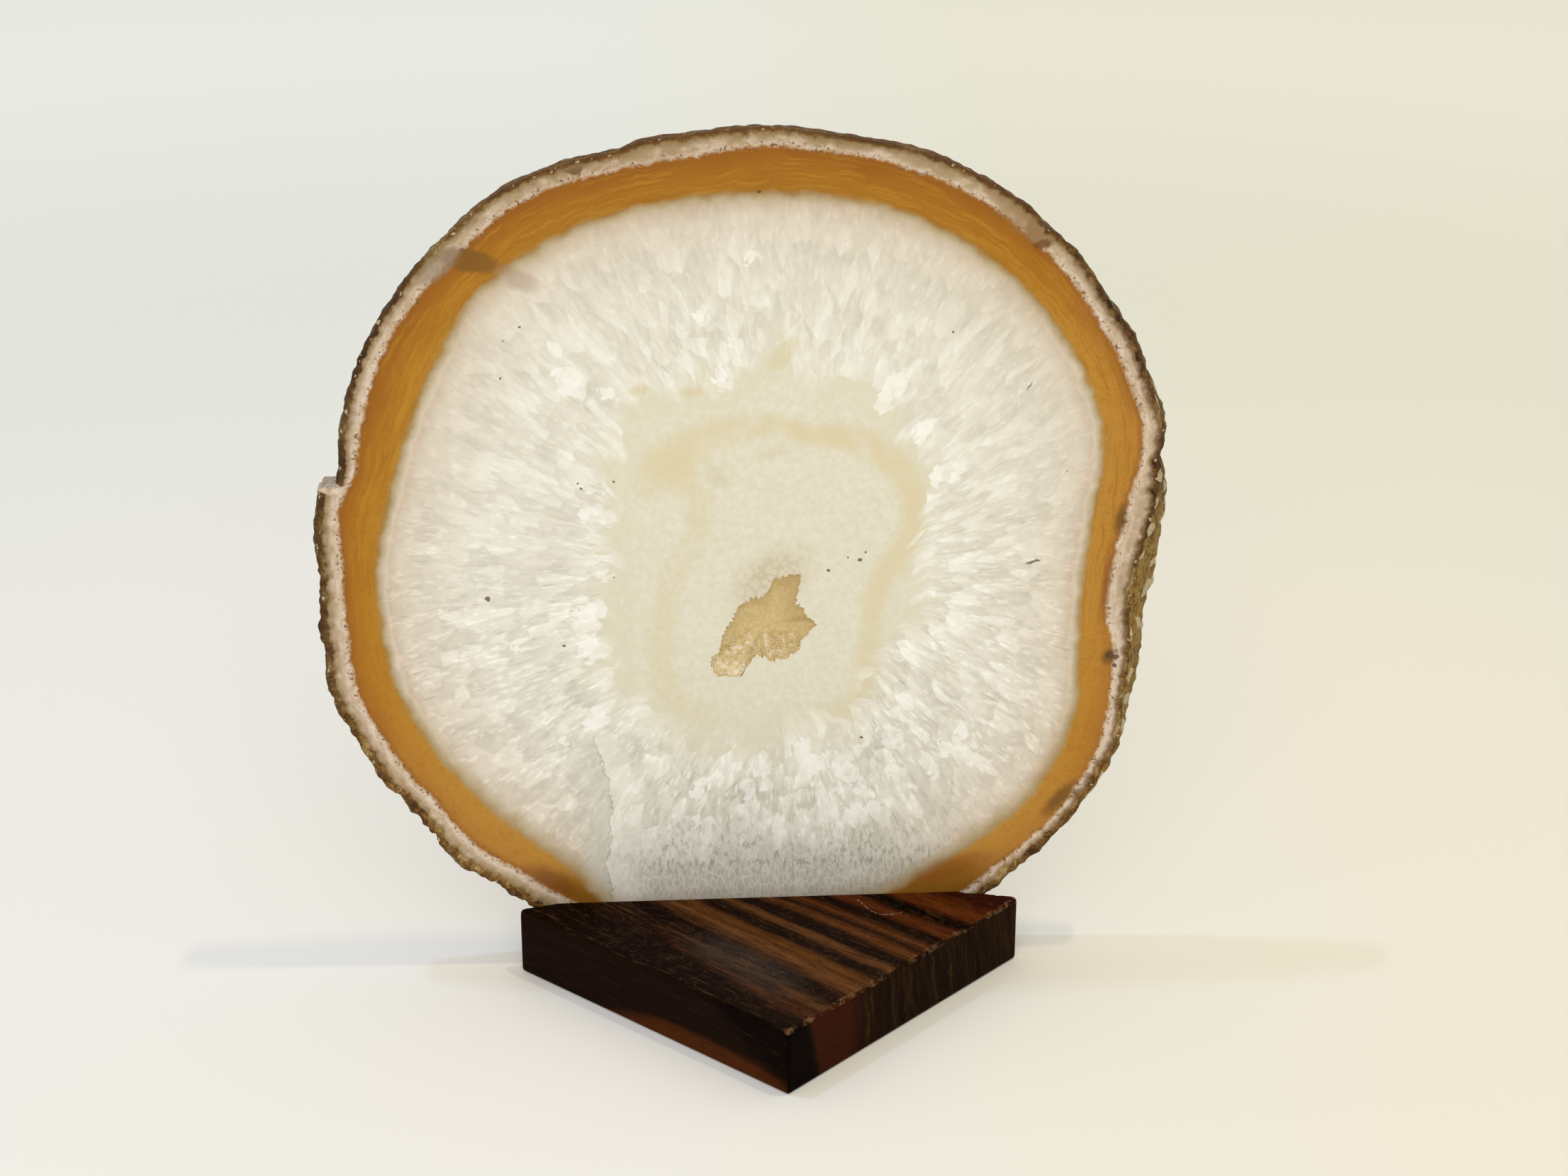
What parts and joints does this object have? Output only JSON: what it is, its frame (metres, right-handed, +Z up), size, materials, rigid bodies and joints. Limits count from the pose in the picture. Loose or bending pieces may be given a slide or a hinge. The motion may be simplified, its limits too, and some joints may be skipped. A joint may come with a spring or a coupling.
{
  "type": "agate slice on a wooden block",
  "caption": "Polished agate slice with amber rim, white quartz and a crystal-lined hollow, standing on edge in a kite-shaped wooden block.",
  "frame": {"origin": "middle of the whole object's footprint, on the surface that it stands on", "axes": "+Z up, -Y towards the viewer of the polished front face, +X to that viewer's right"},
  "size_m": [0.1495, 0.0583, 0.1553],
  "materials": {
    "agate": "polished translucent banded stone with a rough brown rind",
    "druse": "small glassy brownish quartz crystals",
    "striped_wood": "sanded and lightly oiled, black and reddish brown stripes"
  },
  "bodies": {
    "root": {"agate_slice": "agate", "druse_crystals": "druse", "wood_block": "striped_wood"}
  },
  "joints": []
}
